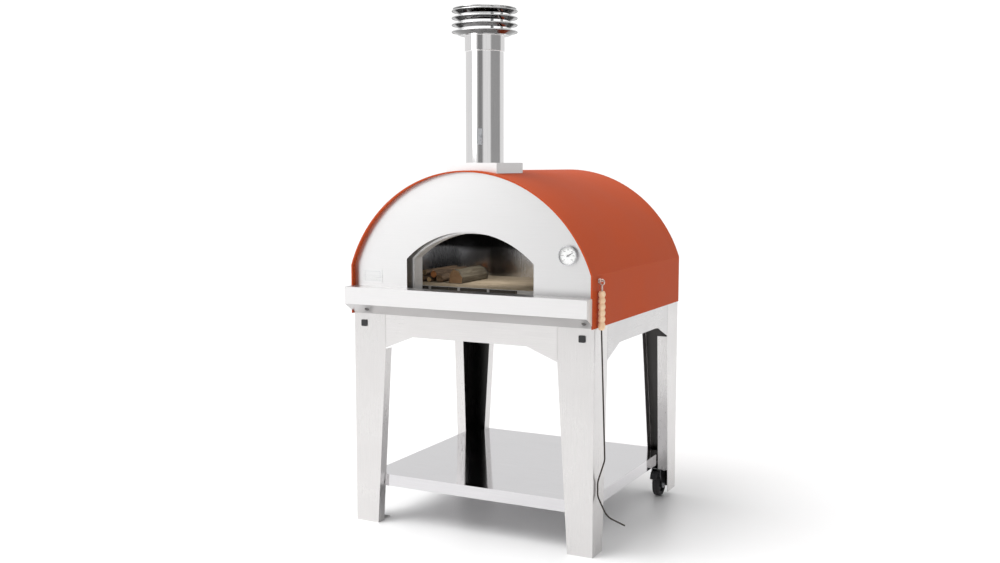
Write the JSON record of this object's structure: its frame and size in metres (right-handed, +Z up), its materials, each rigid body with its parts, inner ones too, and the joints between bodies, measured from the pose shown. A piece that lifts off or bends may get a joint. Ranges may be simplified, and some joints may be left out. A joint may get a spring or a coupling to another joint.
{
  "type": "wood fired pizza oven",
  "caption": "Arched, insulated wood fired pizza oven on a folded steel cart with a lower shelf, rear casters, capped flue, damper, gauge and hanging poker.",
  "frame": {"origin": "on the floor, under the centre of the whole object's bounding box, the hanging poker included", "axes": "+Z up from the floor, -Y towards the oven's mouth and front shelf, +X to the right as seen from the front, the side the poker hangs on"},
  "size_m": [1.1889, 1.06, 2.1],
  "materials": {
    "brushed_steel": "brushed stainless",
    "shelf_steel": "bright stainless",
    "satin_steel": "satin stainless",
    "folded_steel": "plain mill finish",
    "polished_steel": "polished stainless",
    "dark_steel": "heat darkened",
    "chamber_steel": "smoked stainless",
    "shell_paint": "terracotta powder coat",
    "fasteners": "zinc plated",
    "black_plastic": "moulded black",
    "firebrick": "fired clay",
    "insulation": "fibre blanket",
    "firewood": "bark and split grain",
    "chrome_trim": "chrome plated",
    "gauge_face": "printed white",
    "gauge_needle": "black paint",
    "gauge_glass": "clear glass",
    "plate_face": "blank aluminium",
    "dark_rod": "dark iron",
    "handle_wood": "turned and waxed",
    "caster_zinc": "zinc plated pressing",
    "caster_hub": "moulded black nylon",
    "caster_tyre": "grey black rubber",
    "pedal_dark": "moulded black"
  },
  "bodies": {
    "oven": {"leg_front_left": "brushed_steel", "leg_front_right": "brushed_steel", "leg_rear_left": "brushed_steel", "leg_rear_right": "brushed_steel", "apron_front": "brushed_steel", "apron_rear": "brushed_steel", "apron_left": "brushed_steel", "apron_right": "brushed_steel", "apron_bolts": "fasteners", "bolt_caps": "black_plastic", "bottom_shelf": "shelf_steel", "shelf_bolts": "fasteners", "caster_bolts": "fasteners", "base_pan": "folded_steel", "front_shelf": "satin_steel", "outer_shell": "shell_paint", "front_arch": "satin_steel", "rear_panel": "shell_paint", "mouth_reveal": "dark_steel", "mouth_frame": "folded_steel", "mouth_landing": "folded_steel", "mouth_sill": "folded_steel", "chamber_front": "chamber_steel", "chamber_vault": "chamber_steel", "chamber_back": "chamber_steel", "hearth_plate": "folded_steel", "firebricks": "firebrick", "insulation_vault": "insulation", "insulation_rear": "insulation", "insulation_floor": "insulation", "firewood": "firewood", "flue_box": "satin_steel", "flue_pipe": "polished_steel", "flue_sleeve": "polished_steel", "cap_rings": "polished_steel", "cap_straps": "polished_steel", "cap_lid": "polished_steel", "gauge_case": "chrome_trim", "gauge_dial": "gauge_face", "gauge_glass": "gauge_glass", "name_plate": "plate_face", "tool_hook": "dark_rod", "caster_frame_left": "caster_zinc", "caster_axle_left": "fasteners", "caster_frame_right": "caster_zinc", "caster_axle_right": "fasteners"},
    "wheel_left": {"caster_wheel_left": "caster_hub", "caster_tyre_left": "caster_tyre"},
    "pedal_left": {"caster_pedal_left": "pedal_dark"},
    "wheel_right": {"caster_wheel_right": "caster_hub", "caster_tyre_right": "caster_tyre"},
    "pedal_right": {"caster_pedal_right": "pedal_dark"},
    "damper": {"damper_plate": "folded_steel", "damper_spindle": "fasteners", "damper_handle": "satin_steel"},
    "needle": {"gauge_needle": "gauge_needle"},
    "poker": {"poker_rod": "dark_rod", "poker_handle": "handle_wood"}
  },
  "joints": [
    {"name": "wheel_left_spin", "type": "hinge", "parent": "oven", "child": "wheel_left", "pos_m": [-0.539, 0.462, 0.05], "axis": [1, 0, 0], "continuous": true},
    {"name": "pedal_left_press", "type": "hinge", "parent": "oven", "child": "pedal_left", "pos_m": [-0.539, 0.428, 0.112], "axis": [1, 0, 0], "range_deg": [0, 15]},
    {"name": "wheel_right_spin", "type": "hinge", "parent": "oven", "child": "wheel_right", "pos_m": [0.419, 0.462, 0.05], "axis": [1, 0, 0], "continuous": true},
    {"name": "pedal_right_press", "type": "hinge", "parent": "oven", "child": "pedal_right", "pos_m": [0.419, 0.428, 0.112], "axis": [1, 0, 0], "range_deg": [0, 15]},
    {"name": "damper_turn", "type": "hinge", "parent": "oven", "child": "damper", "pos_m": [-0.06, -0.315, 1.593], "axis": [0.2419, -0.9703, 0], "range_deg": [0, 90]},
    {"name": "needle_turn", "type": "hinge", "parent": "oven", "child": "needle", "pos_m": [0.368, -0.454, 1.151], "axis": [0, 1, 0], "range_deg": [-195, 75]},
    {"name": "poker_swing", "type": "hinge", "parent": "oven", "child": "poker", "pos_m": [0.491, -0.425, 1.0577], "axis": [0, 1, 0], "range_deg": [-25, 0]}
  ]
}
